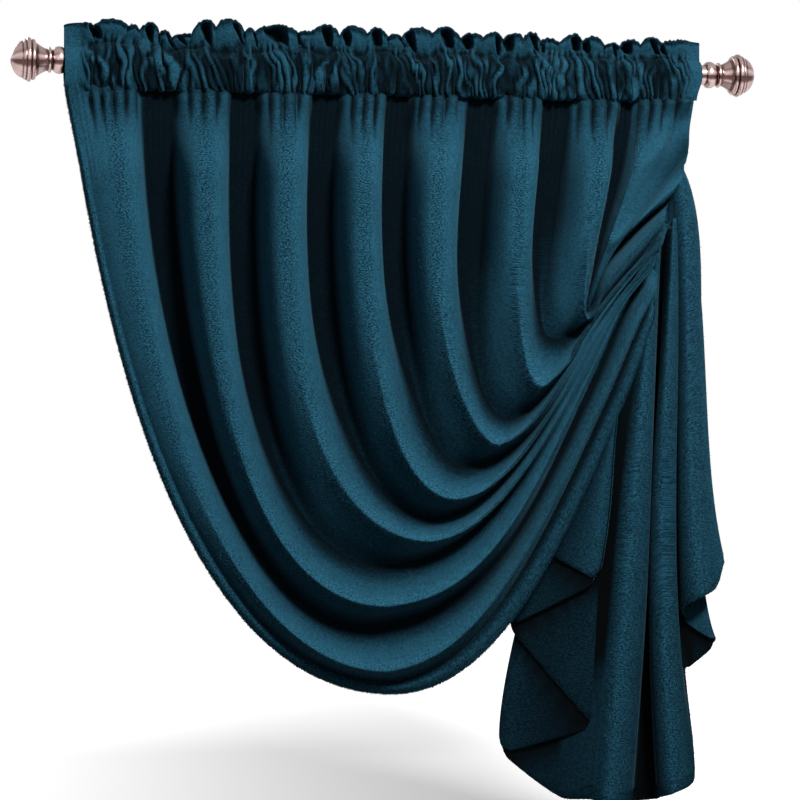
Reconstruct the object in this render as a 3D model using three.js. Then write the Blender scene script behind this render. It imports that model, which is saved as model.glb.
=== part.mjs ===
// Velvet swag curtain with one cascading tail, shirred on a metal curtain rod with two turned finials.
// Millimetres. X along the rod, +Z up, front is -Y. Origin: on the rod axis, half way along the rod.
import * as THREE from 'three';

// ---------------------------------------------------------------- sizes
const rodRadius = 12.5;          // 25 mm rod
const rodWall = 1.2;
const rodEnd = 413;              // half length of the rod
const turnSteps = 32;            // facets round the turned metal

const clothThick = 2;            // velvet with its backing
const sleeveHalf = 407;          // the sleeve runs 814 mm along the rod
const sleeveBottom = -32;        // lower seam of the sleeve
const headerTop = 47;            // top of the stand-up frill, before its scallops
const seamGap = 0.6;             // clearance between the sleeve and the panel hanging from it
const panelTop = sleeveBottom - seamGap - 1.2;

const clothColour = 0x224f63;
const clothShade = 0x1d4658;
const metalColour = 0xa6867f;

// ---------------------------------------------------------------- small helpers
const mix = (a, b, t) => a + (b - a) * t;
const clamp01 = (t) => Math.min(1, Math.max(0, t));
const smooth = (t) => { const c = clamp01(t); return c * c * (3 - 2 * c); };

// value of a row of stations at t, eased between neighbours
function station(ts, vs, t) {
  let i = 0;
  while (i < ts.length - 2 && t > ts[i + 1]) i += 1;
  return mix(vs[i], vs[i + 1], smooth((t - ts[i]) / (ts[i + 1] - ts[i])));
}

// a plane cubic sampled n times and spread evenly along its length
function evenCubic(p0, p1, p2, p3, n) {
  const fine = [];
  for (let i = 0; i <= 80; i += 1) {
    const t = i / 80, s = 1 - t;
    fine.push([0, 1].map((k) => s * s * s * p0[k] + 3 * s * s * t * p1[k]
      + 3 * s * t * t * p2[k] + t * t * t * p3[k]));
  }
  const run = [0];
  for (let i = 1; i <= 80; i += 1) {
    run.push(run[i - 1] + Math.hypot(fine[i][0] - fine[i - 1][0], fine[i][1] - fine[i - 1][1]));
  }
  const out = [];
  for (let j = 0; j <= n; j += 1) {
    const want = run[80] * j / n;
    let i = 1;
    while (i < 80 && run[i] < want) i += 1;
    const f = (want - run[i - 1]) / Math.max(1e-9, run[i] - run[i - 1]);
    out.push([mix(fine[i - 1][0], fine[i][0], f), mix(fine[i - 1][1], fine[i][1], f)]);
  }
  return out;
}

// a closed solid from rows of points: front face as given, back face one thickness behind it
function sheetSolid(rows, thick) {
  const n = rows.length, m = rows[0].length;
  const at = (i, j) => rows[Math.min(n - 1, Math.max(0, i))][Math.min(m - 1, Math.max(0, j))];
  const front = [], back = [];
  for (let i = 0; i < n; i += 1) {
    for (let j = 0; j < m; j += 1) {
      const du = new THREE.Vector3().subVectors(at(i, j + 1), at(i, j - 1));
      const dv = new THREE.Vector3().subVectors(at(i + 1, j), at(i - 1, j));
      const normal = new THREE.Vector3().crossVectors(du, dv).normalize();
      front.push(at(i, j));
      back.push(at(i, j).clone().addScaledVector(normal, thick));
    }
  }
  const index = [];
  const quad = (a, b, c, d) => index.push(a, b, c, a, c, d);
  const f = (i, j) => i * m + j, k = (i, j) => n * m + i * m + j;
  for (let i = 0; i < n - 1; i += 1) {
    for (let j = 0; j < m - 1; j += 1) {
      quad(f(i, j), f(i + 1, j), f(i + 1, j + 1), f(i, j + 1));
      quad(k(i, j), k(i, j + 1), k(i + 1, j + 1), k(i + 1, j));
    }
  }
  for (let i = 0; i < n - 1; i += 1) {
    quad(f(i, 0), k(i, 0), k(i + 1, 0), f(i + 1, 0));
    quad(f(i, m - 1), f(i + 1, m - 1), k(i + 1, m - 1), k(i, m - 1));
  }
  for (let j = 0; j < m - 1; j += 1) {
    quad(f(0, j), f(0, j + 1), k(0, j + 1), k(0, j));
    quad(f(n - 1, j), k(n - 1, j), k(n - 1, j + 1), f(n - 1, j + 1));
  }
  return solidFrom([...front, ...back], index);
}

function solidFrom(points, index) {
  const geometry = new THREE.BufferGeometry();
  const flat = new Float32Array(points.length * 3);
  points.forEach((p, i) => p.toArray(flat, i * 3));
  geometry.setAttribute('position', new THREE.BufferAttribute(flat, 3));
  geometry.setIndex(index);
  geometry.computeVertexNormals();
  return geometry;
}

// ---------------------------------------------------------------- swag: fold lines
// One row per line, from the hem inwards. Each line drops from the sleeve, turns at its low
// point, climbs through its waist and ends at the gather.
//  head: x on the sleeve; lean, drop: how it leaves the sleeve; round: width of the turn
//  low: the turn and the angle it has there; lift: width of the turn on the climbing side
//  waist, tip: points of the climb with the angle it has there (degrees above level)
//  y: depth at the sleeve, on the leg, at the low point, at the waist, at the tip
const foldLines = [
  // name  head  lean drop round  low x, z, angle  lift  waist x, z, angle  tip x, z, angle  y
  ['hem', -407, 46, 330, 258, -6, -776, 0, 138, 281, -422, 66, 324, -289, 72, -16, -52, -58, -62, -56],
  ['V0', -398, 42, 322, 246, -6, -762, 0, 110, 266, -414, 65, 321, -274, 62, -16, -56, -62, -50, -50],
  ['R1', -350, -5, 275, 215, -20, -746, 0, 118, 257, -405, 64, 331, -261, 45, -15, -67, -86, -78, -72],
  ['V1', -292, -20, 200, 180, -40, -692, 0, 166, 245, -393, 64, 318, -244, 52, -5, -14, -40, -46, -42],
  ['R2', -237, -25, 320, 175, -20, -667, 0, 132, 236, -386, 63, 330, -228, 40, -13, -72, -82, -71, -62],
  ['V2', -186, -25, 400, 120, -15, -620, 0, 116, 233, -380, 62, 332, -224, 40, -5, -14, -40, -72, -67],
  ['R3', -135, -40, 400, 110, 35, -588, 0, 75, 230, -375, 62, 334, -220, 42, -13, -72, -82, -74, -69],
  ['V3', -84, -30, 200, 130, 48, -562, 0, 65, 228, -370, 62, 335, -217, 42, -5, -14, -40, -74, -69],
  ['R4', -35, -35, 200, 100, 66, -537, 0, 60, 225, -366, 61, 336, -214, 54, -13, -72, -82, -75, -70],
  ['V4', 10, -30, 150, 75, 85, -497, 0, 76, 224, -360, 61, 337, -211, 53, -5, -14, -42, -75, -71],
  ['R5', 61, -58, 290, 30, 120, -470, 12, 40, 223, -354, 60, 338, -208, 52, -13, -72, -82, -75, -72],
  ['V5', 116, -40, 300, 50, 146, -437, 12, 40, 222, -347, 60, 339, -204, 51, -5, -14, -42, -60, -70],
  ['R6', 161, -34, 250, 34, 178, -397, 36, 20, 236, -334, 57, 341, -200, 50, -13, -72, -82, -76, -73],
  ['V6', 211, -38, 290, 62, 222, -331, 28, 15, 257, -299, 54, 342, -192, 49, -5, -14, -44, -62, -70],
  ['R7', 264, -36, 230, 22, 236, -313, 42, 10, 257, -270, 56, 344, -174, 46, -13, -72, -84, -82, -76],
  ['V7', 303, -10, 140, 12, 243, -303, 10, 8, 274, -230, 52, 350, -162, 38, -5, -14, -38, -34, -50],
  ['R8', 322, -10, 90, 8, 266, -219, -40, 6, 292, -200, 42, 359, -144, 36, -13, -52, -58, -72, -64],
  ['side', 385, -4, 30, 1, 371, -100, 250, 0, 366, -118, 250, 361, -135, 250, -15, -28, -42, -52, -54],
].map(([name, head, lean, drop, round, lowX, lowZ, lowTurn, lift, waistX, waistZ, waistTurn,
  tipX, tipZ, tipTurn, ...y]) => ({
  name, head, lean, drop, round, lowX, lowZ, lowTurn, lift, waistX, waistZ, waistTurn, tipX, tipZ, tipTurn, y,
}));

const legSteps = 40, climbSteps = 20;       // samples: sleeve to low point, then each half climb
const lineSteps = legSteps + 2 * climbSteps;
const openLength = 110;                     // run below the sleeve in which a column opens
const keepApart = 1.3;                      // neighbouring lines stay this far apart
const lastBundled = 13;                     // the lines up to this one share the narrow climb

function traceLine(l) {
  const aim = (deg) => [Math.cos(deg * Math.PI / 180), Math.sin(deg * Math.PI / 180)];
  const low = [l.lowX, l.lowZ], waist = [l.waistX, l.waistZ], tip = [l.tipX, l.tipZ];
  const [ux, uz] = aim(l.lowTurn), [wx, wz] = aim(l.waistTurn), [tx, tz] = aim(l.tipTurn);
  const rise = 0.36 * Math.hypot(waist[0] - low[0], waist[1] - low[1]);
  const reach = 0.33 * Math.hypot(tip[0] - waist[0], tip[1] - waist[1]);
  const leg = evenCubic([l.head, panelTop], [l.head + l.lean, panelTop - l.drop],
    [l.lowX - l.round * ux, l.lowZ - l.round * uz], low, legSteps);
  const climb = evenCubic(low, [l.lowX + l.lift * ux, l.lowZ + l.lift * uz],
    [waist[0] - rise * wx, waist[1] - rise * wz], waist, climbSteps);
  const end = evenCubic(waist, [waist[0] + reach * wx, waist[1] + reach * wz],
    [tip[0] - reach * tx, tip[1] - reach * tz], tip, climbSteps);
  return [...leg, ...climb.slice(1), ...end.slice(1)];
}

// on the climb each line keeps a little way inside the one before it
const traced = foldLines.map(traceLine);
for (let k = 1; k <= lastBundled; k += 1) {
  const outer = traced[k - 1], line = traced[k];
  for (let i = legSteps + 1; i <= lineSteps; i += 1) {
    const a = outer[Math.max(legSteps, i - 5)], b = outer[Math.min(lineSteps, i + 5)];
    const size = Math.hypot(b[0] - a[0], b[1] - a[1]);
    const nx = -(b[1] - a[1]) / size, nz = (b[0] - a[0]) / size;
    const apart = (line[i][0] - outer[i][0]) * nx + (line[i][1] - outer[i][1]) * nz;
    const push = Math.max(0, keepApart - apart);
    line[i] = [line[i][0] + nx * push, line[i][1] + nz * push];
  }
  for (let pass = 0; pass < 4; pass += 1) {
    const old = line.map((p) => [...p]);
    for (let i = legSteps + 2; i < lineSteps; i += 1) {
      line[i] = [0, 1].map((c) => (old[i - 1][c] + 2 * old[i][c] + old[i + 1][c]) / 4);
    }
  }
}

function linePoint(k, t) {
  const s = t * lineSteps, i = Math.min(lineSteps - 1, Math.floor(s)), f = s - i;
  const line = traced[k];
  return [mix(line[i][0], line[i + 1][0], f), mix(line[i][1], line[i + 1][1], f)];
}

const lineRun = traced.map((line) => {
  const run = [0];
  for (let i = 1; i < line.length; i += 1) {
    run.push(run[i - 1] + Math.hypot(line[i][0] - line[i - 1][0], line[i][1] - line[i - 1][1]));
  }
  return run;
});

function lineDepth(k, t) {
  const [atSleeve, leg, low, waist, tip] = foldLines[k].y;
  const run = mix(0, lineRun[k][lineSteps], 0) + lineRun[k][Math.round(t * lineSteps)];
  return mix(atSleeve, station([0, 0.22, 0.5, 0.75, 1], [leg, leg, low, waist, tip], t),
    smooth(run / openLength));
}

// how sharply a fold turns, at the legs, the low point and the climb
const sharpLeft = [2.4, 2.4, 2.0, 2.0, 2.0];     // the side towards the hem
const sharpRight = [4.2, 4.2, 1.7, 2.0, 2.0];    // the side away from the hem

// one point of the swag: half fold k (between lines k and k+1), share a across it, t along it
function swagPoint(k, a, t) {
  const p = linePoint(k, t), q = linePoint(k + 1, t);
  const yp = lineDepth(k, t), yq = lineDepth(k + 1, t);
  const rising = k % 2 === 1;                      // from a valley line to a ridge line
  const fromValley = rising ? a : 1 - a;
  const power = station([0, 0.22, 0.5, 0.75, 1], rising ? sharpLeft : sharpRight, t);
  const soft = Math.sqrt(fromValley * fromValley + 0.0016) - 0.04;
  let lift = 1 - (1 - Math.min(1, soft / 0.9608)) ** power;
  if (k === 0) lift = Math.sin(Math.PI * a / 2);
  const valleyY = rising ? yp : yq, ridgeY = rising ? yq : yp;
  let y = k === 0 ? mix(yp, yq, a) - 4 * Math.sin(Math.PI * a) : mix(valleyY, ridgeY, lift);
  // pinched pleats over the head of each column
  if (k > 1 && k < 16) {
    const run = t * lineRun[k + 1][lineSteps];
    const fade = 1 - smooth(run / 85);
    y += fade * 7 * (0.5 - 0.5 * Math.cos(2 * Math.PI * fromValley * 3.5)) * smooth(fromValley * 3);
  }
  return new THREE.Vector3(mix(p[0], q[0], a), y, mix(p[1], q[1], a));
}

const across = [0, 0.1, 0.28, 0.5, 0.75, 1];       // shares of a half fold, from its valley
const along = [0, 0.02, 0.05, 0.09, 0.15, 0.24, 0.33, 0.41, 0.46, 0.5,
  0.55, 0.61, 0.68, 0.76, 0.86, 0.94, 1];

function swagRows() {
  return along.map((t) => {
    const row = [];
    for (let k = 0; k < foldLines.length - 1; k += 1) {
      const shares = k === 0 ? [0, 0.5, 1] : (k % 2 === 1 ? across : across.map((a) => 1 - a).reverse());
      shares.forEach((a, i) => { if (i || !k) row.push(swagPoint(k, a, t)); });
    }
    return row;
  });
}

// ---------------------------------------------------------------- tail: a double cascade of pleats
// One row per pleat line, from the inner edge to the outer edge, each from the gather to the hem.
// Four stations: at the gather, one third down, two thirds down and at the hem, each x, z, depth y.
// fold: 1 where the cloth is turned back sharply, 0 where it only bends
const pleatLines = [
  // name    top x, z, y      one third      two thirds     hem            fold
  ['start', 322, -198, -29,  301, -415, -30,  257, -540, -31,  205, -611, -31, 0],
  ['L0', 326, -198, -26,  283, -415, -27,  272, -528, -27,  260, -636, -27, 1],
  ['L1', 312, -198, -22,  242, -415, -20,  189, -565, -20,  145, -698, -21, 1],
  ['L2', 324, -198, -19,  281, -415, -16,  268, -616, -16,  251, -820, -17, 1],
  ['L3', 314, -198, -15,  245, -415, -12,  168, -666, -12,  137, -851, -13, 1],
  ['low', 322, -198, -13,  285, -440, -9,  227, -692, -9,  214, -915, -12, 0],
  ['A in', 340, -192, -24,  303, -415, -26,  282, -591, -24,  252, -918, -22, 0],
  ['A', 343, -188, -30,  310, -415, -47,  292, -615, -50,  264, -922, -52, 0],
  ['A out', 345, -184, -26,  328, -415, -38,  320, -616, -40,  297, -921, -42, 0],
  ['gap A', 346, -172, -16,  338, -415, -12,  329, -618, -10,  311, -923, -10, 0],
  ['gap B', 349, -168, -16,  341, -415, -12,  331, -618, -10,  339, -921, -10, 0],
  ['B in', 352, -196, -32,  335, -415, -36,  324, -616, -38,  336, -915, -38, 0],
  ['B', 355, -186, -38,  341, -415, -48,  336, -616, -50,  351, -909, -52, 0],
  ['B out', 361, -186, -32,  360, -415, -37,  359, -642, -38,  382, -892, -40, 0],
  ['R3', 355, -160, -12,  359, -415, -14,  359, -618, -13,  375, -761, -13, 1],
  ['R2', 375, -168, -12,  384, -415, -12,  398, -619, -10,  421, -725, -10, 1],
  ['R1', 347, -135, -16,  358, -415, -20,  364, -592, -19,  370, -693, -19, 1],
  ['C in', 352, -130, -20,  363, -289, -34,  363, -478, -35,  368, -676, -36, 0],
  ['C', 356, -118, -24,  370, -289, -45,  373, -465, -48,  386, -664, -50, 0],
  ['C side', 360, -116, -22,  386, -289, -36,  392, -466, -37,  408, -655, -38, 0],
  ['outer', 363, -114, -20,  395, -288, -26,  404, -466, -26,  420, -648, -28, 0],
].map(([name, ...n]) => ({
  name, stations: [0, 3, 6, 9].map((i) => new THREE.Vector3(n[i], n[i + 2], n[i + 1])), fold: n[12],
}));
const pleatRound = 4;                       // half width of a turned pleat edge

function pleatPoint(l, t) {
  // one cubic through the four stations
  const u = 3 * t;
  const weights = [-(u - 1) * (u - 2) * (u - 3) / 6, u * (u - 2) * (u - 3) / 2,
    -u * (u - 1) * (u - 3) / 2, u * (u - 1) * (u - 2) / 6];
  return l.stations.reduce((sum, p, i) => sum.addScaledVector(p, weights[i]), new THREE.Vector3());
}

function tailRows() {
  const rows = [];
  for (let i = 0; i <= 9; i += 1) {
    const t = i / 9, row = [];
    pleatLines.forEach((l, k) => {
      const p = pleatPoint(l, t);
      if (l.fold === 0) {
        row.push(p);
        return;
      }
      const before = pleatPoint(pleatLines[k - 1], t), after = pleatPoint(pleatLines[k + 1], t);
      const side = (q) => {
        const d = new THREE.Vector3().subVectors(q, p);
        const share = Math.min(0.4, 2.2 * pleatRound / Math.max(1, d.length()));
        return p.clone().addScaledVector(d, share);
      };
      const a = side(before), b = side(after);
      a.y = mix(p.y, before.y, 0.45);
      b.y = mix(p.y, after.y, 0.45);
      row.push(a, p, b);
    });
    rows.push(row);
  }
  return rows;
}

// ---------------------------------------------------------------- heading: sleeve and frill
const headingSteps = 60;
const gatherWaves = [   // pitch mm, depth mm, start
  [41, 1.8, 0.4], [58, 1.3, 1.7],
];
const frillWaves = [
  [54, 6.0, 0.3], [83, 3.0, 1.9],
];
const wave = (list, x) => list.reduce((sum, [pitch, depth, start]) =>
  sum + depth * Math.sin(2 * Math.PI * x / pitch + start), 0);

// outline of the cloth round the rod at x: outer skin, then inner skin, both run the same way
function headingRing(x) {
  const free = smooth((sleeveHalf - Math.abs(x)) / 45);      // the ends are flat and ungathered
  const puff = free * wave(gatherWaves, x) + 2 * free;
  const sway = free * wave(frillWaves, x);
  const top = headerTop + free * 3 * Math.sin(2 * Math.PI * x / 66 + 1);
  const outer = [
    [0, sleeveBottom], [-9 - puff, -27], [-15.5 - puff, -14], [-17 - puff, 0], [-14 - puff, 9],
    [-3.4, 16.5], [-4 + sway * 0.6, 30], [-3 + sway, top], [3 + sway, top - 1],
    [3.4 + sway * 0.6, 30], [3.4, 16.5], [14, 9], [16.5 + puff * 0.5, -4], [10 + puff * 0.5, -22],
  ];
  const inner = [
    [0, -27], [-6.5, -21], [-12.2, -8], [-13.4, 2], [-9, 10.6], [0, 14.2], [9, 10.6],
    [13.4, 2], [12.2, -8], [6.5, -21],
  ];
  const place = (list) => list.map(([y, z]) => new THREE.Vector3(x, y, z));
  return { outer: place(outer), inner: place(inner) };
}

function headingSolid() {
  const points = [], index = [];
  const nOut = 14, nIn = 10, ringSize = nOut + nIn;
  for (let i = 0; i <= headingSteps; i += 1) {
    const { outer, inner } = headingRing(mix(-sleeveHalf, sleeveHalf, i / headingSteps));
    points.push(...outer, ...inner);
  }
  const quad = (a, b, c, d) => index.push(a, b, c, a, c, d);
  for (let i = 0; i < headingSteps; i += 1) {
    const a = i * ringSize, b = a + ringSize;
    for (let j = 0; j < nOut; j += 1) {
      const n = (j + 1) % nOut;
      quad(a + j, b + j, b + n, a + n);
    }
    for (let j = 0; j < nIn; j += 1) {
      const n = (j + 1) % nIn;
      quad(a + nOut + j, a + nOut + n, b + nOut + n, b + nOut + j);
    }
  }
  // the two open ends: strips between the skins, and the frill's own end
  const match = [[0, 0], [1, 1], [2, 2], [3, 3], [4, 4], [5, 5], [10, 5], [11, 6], [12, 7], [13, 8], [0, 10]];
  [0, headingSteps * ringSize].forEach((base, far) => {
    const o = (j) => base + (j % nOut), k = (j) => base + nOut + (j % nIn);
    const face = (a, b, c) => { if (far) index.push(a, c, b); else index.push(a, b, c); };
    for (let s = 0; s < match.length - 1; s += 1) {
      const [o0, i0] = match[s];
      const o1 = match[s + 1][0], i1 = match[s + 1][1];
      if (o0 === 5) {
        // across the frill: fan of its outline, closed on the seam
        for (let j = 5; j < 10; j += 1) face(k(5), o(j), o(j + 1));
        continue;
      }
      const oNext = o0 === 13 ? 14 : o1;
      face(o(o0), o(oNext), k(i0));
      for (let j = i0; j < i1; j += 1) face(k(j), o(oNext), k(j + 1));
    }
  });
  return solidFrom(points, index);
}

// ---------------------------------------------------------------- rod and finials
function turned(profile) {
  // profile: rows of [radius, distance along the rod]; turned round the rod axis
  const lathe = new THREE.LatheGeometry(profile.map(([r, a]) => new THREE.Vector2(r, a)), turnSteps);
  lathe.rotateZ(-Math.PI / 2);
  return lathe;
}

const finialProfile = [
  // socket round the rod end, collar bead
  [0, 414], [12.8, 414], [12.8, 407], [14.6, 407], [16.2, 409.5], [16.8, 413], [16.2, 416.5],
  [14.4, 419.5], [12.4, 421.3],
  // thin ring and waisted neck
  [12.2, 422.6], [15.2, 423.2], [15.9, 424.6], [15.4, 426.3], [13.9, 427], [13.8, 428.5],
  [14.6, 431.5], [16.2, 434.8], [18.4, 438], [20.7, 441],
  // stepped rings and flange
  [22.4, 442], [24.6, 443], [24.8, 445.6], [24, 447.2], [26.6, 448], [27.3, 450], [26.6, 452],
  [24.6, 453], [24.6, 456], [22.6, 457.6],
  // dome
  [22.2, 460], [20.6, 463.4], [17.4, 466.8], [12.8, 469.6], [6.8, 471.6], [0, 472.4],
];

// ---------------------------------------------------------------- build
const cloth = new THREE.MeshStandardMaterial({ color: clothColour, roughness: 0.95, metalness: 0 });
const clothBelow = new THREE.MeshStandardMaterial({ color: clothShade, roughness: 0.95, metalness: 0 });
const metal = new THREE.MeshStandardMaterial({ color: metalColour, roughness: 0.35, metalness: 0.9 });

const group = new THREE.Group();
function add(name, geometry, material) {
  const mesh = new THREE.Mesh(geometry, material);
  mesh.name = name;
  group.add(mesh);
}

const bore = rodRadius - rodWall;
add('rod', turned([[bore, -rodEnd], [rodRadius, -rodEnd], [rodRadius, rodEnd], [bore, rodEnd],
  [bore, -rodEnd]]), metal);
add('finial_right', turned(finialProfile), metal);
add('finial_left', turned(finialProfile).rotateZ(Math.PI), metal);
add('heading', headingSolid(), cloth);
add('swag_panel', sheetSolid(swagRows(), clothThick), cloth);
add('tail_panel', sheetSolid(tailRows(), clothThick), clothBelow);

export default group;
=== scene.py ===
# %% [markdown]
# # A velvet swag curtain on a metal rod
# The object is one side of a swag pair: a gathered sleeve on a rod with turned finials, a pleated
# swag that is drawn up to the right, and a folded tail that falls from the gather. The lesson loads
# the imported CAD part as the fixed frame, then models each piece again with its real surface. Its
# tables are in millimetres, with X to the right along the rod, Z up and the room on the side of -Y.

import math

import bpy
import bmesh
import numpy as np
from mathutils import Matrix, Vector


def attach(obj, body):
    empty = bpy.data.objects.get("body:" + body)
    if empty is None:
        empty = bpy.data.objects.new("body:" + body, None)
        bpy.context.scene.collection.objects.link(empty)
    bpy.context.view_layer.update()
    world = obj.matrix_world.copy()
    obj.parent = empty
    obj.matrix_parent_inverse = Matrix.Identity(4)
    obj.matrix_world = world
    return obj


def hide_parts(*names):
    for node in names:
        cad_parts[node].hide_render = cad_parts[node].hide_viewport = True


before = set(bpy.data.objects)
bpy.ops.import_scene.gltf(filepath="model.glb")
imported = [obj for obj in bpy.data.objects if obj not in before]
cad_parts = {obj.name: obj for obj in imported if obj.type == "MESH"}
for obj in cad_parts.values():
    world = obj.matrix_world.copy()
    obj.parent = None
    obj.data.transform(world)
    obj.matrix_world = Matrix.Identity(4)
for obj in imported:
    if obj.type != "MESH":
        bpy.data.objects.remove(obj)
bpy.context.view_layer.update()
print("CAD nodes:", sorted(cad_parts))

MM = 0.001

# %% [markdown]
# ## The rod
# The real rod is a drawn steel tube, of which only a few millimetres show between the cloth and the
# finials. So a cylinder primitive is enough, with a bore in each end made by an inset and an
# extrusion inwards. An operator acts on all that is selected, so everything is deselected first.

# %% Modelling helpers
def clear_selection():
    for item in bpy.context.selected_objects:
        item.select_set(False)


def start_editing(name):
    """Names the new primitive, puts its place in its mesh and opens it, with nothing selected."""
    piece = bpy.context.object
    piece.name = name
    bpy.ops.object.transform_apply(location=True, rotation=True, scale=True)
    bpy.ops.object.mode_set(mode="EDIT")
    bpy.ops.mesh.select_all(action="DESELECT")
    return piece, bmesh.from_edit_mesh(piece.data)


def end_editing(piece, sharp_angle):
    bpy.ops.object.mode_set(mode="OBJECT")
    bpy.ops.object.shade_smooth_by_angle(angle=math.radians(sharp_angle))
    print(piece.name, len(piece.data.polygons), "faces")
    return piece


# %% Rod
ROD_RADIUS = 12.5
ROD_HALF = 413           # half the length of the tube
ROD_WALL = 1.2
BORE_DEPTH = 20          # the rest of the bore is never seen


def add_rod():
    clear_selection()
    bpy.ops.mesh.primitive_cylinder_add(vertices=64, radius=ROD_RADIUS * MM, depth=2 * ROD_HALF * MM,
                                        location=(0, 0, 0), rotation=(0, math.pi / 2, 0))
    rod, mesh = start_editing("rod_tube")
    for face in mesh.faces:
        face.select_set(abs(face.normal.x) > 0.9)
    bmesh.update_edit_mesh(rod.data)
    bpy.ops.mesh.inset(thickness=ROD_WALL * MM)
    bpy.ops.mesh.extrude_region_shrink_fatten(TRANSFORM_OT_shrink_fatten={"value": -BORE_DEPTH * MM})
    return end_editing(rod, 40)


rod = add_rod()
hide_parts("rod")
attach(rod, "root")

# %% [markdown]
# ## The finials
# A finial is turned on a lathe: a collar that slips over the rod, a thin ring, a waisted neck, two
# stepped rings and a low dome. A circle is extruded ring by ring along the rod and each ring is
# resized to the profile, which is how a lathe tool would pass over it. One model serves both ends:
# the left finial is turned half round, and each has its own mesh.

# %% Finial profile
FINIAL_PROFILE = [
    # distance along the rod, radius
    (414, 12.8), (407.4, 12.8), (407, 13.2), (407, 14.4), (408, 15.5), (409.6, 16.4), (411.6, 16.9),
    (413.8, 16.9), (416, 16.4), (418, 15.4), (419.6, 14.1), (420.9, 12.7), (421.8, 12.3),
    (422.4, 12.6), (422.9, 14.6), (423.6, 15.6), (424.6, 15.9), (425.6, 15.6), (426.3, 14.8),
    (426.8, 13.8), (427.6, 13.5), (429.2, 13.8), (431.6, 14.8), (434.4, 16.3), (437.6, 18.3),
    (440.8, 20.6), (441.4, 21.2), (441.7, 22.2), (442.2, 23.6), (443, 24.6), (444.2, 25),
    (445.6, 24.9), (446.6, 24.3), (447, 24.1), (447.4, 25.2), (448, 26.4), (449, 27.1),
    (450, 27.3), (451, 27.1), (452, 26.5), (452.6, 25.4), (452.9, 24.8), (453.6, 25),
    (454.8, 25), (455.8, 24.5), (456.5, 23.6), (457, 22.9), (457.8, 22.7), (459.4, 22.2),
    (461.6, 21.2), (464, 19.4), (466.4, 16.8), (468.6, 13.4), (470.4, 9.4), (471.6, 5.2),
    (472.2, 2),
]
SOCKET_RADIUS = 13       # only the first ring of the profile lies within it at its place on the rod


# %% Finials
def add_finial(name):
    clear_selection()
    start, radius = FINIAL_PROFILE[0]
    bpy.ops.mesh.primitive_circle_add(vertices=64, radius=radius * MM, fill_type="NOTHING",
                                      location=(start * MM, 0, 0), rotation=(0, math.pi / 2, 0))
    finial, _ = start_editing(name)
    bpy.ops.mesh.select_all(action="SELECT")
    for (x0, r0), (x1, r1) in zip(FINIAL_PROFILE, FINIAL_PROFILE[1:]):
        bpy.ops.mesh.extrude_edges_move(TRANSFORM_OT_translate={"value": ((x1 - x0) * MM, 0, 0)})
        bpy.ops.transform.resize(value=(1, r1 / r0, r1 / r0), center_override=(x1 * MM, 0, 0))
    bpy.ops.mesh.edge_face_add()
    # a disc closes the socket, because the end of the tube fills it
    bpy.ops.mesh.select_all(action="DESELECT")
    mesh = bmesh.from_edit_mesh(finial.data)
    for vert in mesh.verts:
        on_first_ring = abs(vert.co.x - start * MM) < 1e-6
        vert.select_set(on_first_ring and math.hypot(vert.co.y, vert.co.z) < SOCKET_RADIUS * MM)
    mesh.select_flush(True)
    bmesh.update_edit_mesh(finial.data)
    bpy.ops.mesh.edge_face_add()
    bpy.ops.mesh.select_all(action="SELECT")
    bpy.ops.mesh.normals_make_consistent(inside=False)
    return end_editing(finial, 35)


finial_right = add_finial("finial_cap_right")
finial_left = add_finial("finial_cap_left")
clear_selection()
finial_left.select_set(True)
bpy.context.view_layer.objects.active = finial_left
finial_left.rotation_euler = (0, 0, math.pi)
bpy.ops.object.transform_apply(location=True, rotation=True, scale=True)
for piece, node in ((finial_right, "finial_right"), (finial_left, "finial_left")):
    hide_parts(node)
    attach(piece, "root")

# %% [markdown]
# ## Tools for cloth
# Hanging cloth is a smooth sheet that runs along fold lines. Each line is a short row of named
# stations; a smooth curve goes through them, and the sheet is laid between neighbouring lines.

# %% Curves
FINE_STEPS = 240         # samples from which a curve's even points are taken


def ease(t):
    """From 0 to 1 with a soft start and a soft end."""
    t = np.clip(t, 0, 1)
    return t * t * (3 - 2 * t)


def station(places, values, t):
    """Value at t of a row of stations, eased between neighbours."""
    t = np.clip(np.asarray(t, float), places[0], places[-1])
    i = np.clip(np.searchsorted(places, t, side="right") - 1, 0, len(places) - 2)
    p, v = np.asarray(places, float), np.asarray(values, float)
    return v[i] + (v[i + 1] - v[i]) * ease((t - p[i]) / (p[i + 1] - p[i]))


def unit(vectors):
    return vectors / np.maximum(np.linalg.norm(vectors, axis=-1, keepdims=True), 1e-9)


def length_run(points, axis):
    """How far each point lies from the first, measured through the points between."""
    steps = np.linalg.norm(np.diff(points, axis=axis), axis=-1)
    return np.insert(np.cumsum(steps, axis), 0, 0, axis)


def even_cubic(p0, p1, p2, p3, n):
    """A cubic curve sampled n times, spread evenly along its length."""
    t = np.linspace(0, 1, FINE_STEPS + 1)[:, None]
    p0, p1, p2, p3 = (np.asarray(p, float) for p in (p0, p1, p2, p3))
    fine = (1 - t) ** 3 * p0 + 3 * (1 - t) ** 2 * t * p1 + 3 * (1 - t) * t ** 2 * p2 + t ** 3 * p3
    run = length_run(fine, 0)
    want = np.linspace(0, run[-1], n + 1)
    return np.stack([np.interp(want, run, fine[:, 0]), np.interp(want, run, fine[:, 1])], 1)


# %% [markdown]
# A sheet is a front and a back skin, one thickness apart and joined round the rim. It carries what
# the velvet will need: a flat map in real metres, so that the pile follows the cloth, and two
# numbers for each vertex, "crest" where the pile is rubbed and "shade", which is painted shade in
# the hollows and below folds, and a painted highlight where it is less than 0.

# %% Cloth mesh
CLOTH = 2.0              # velvet with its backing


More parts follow.
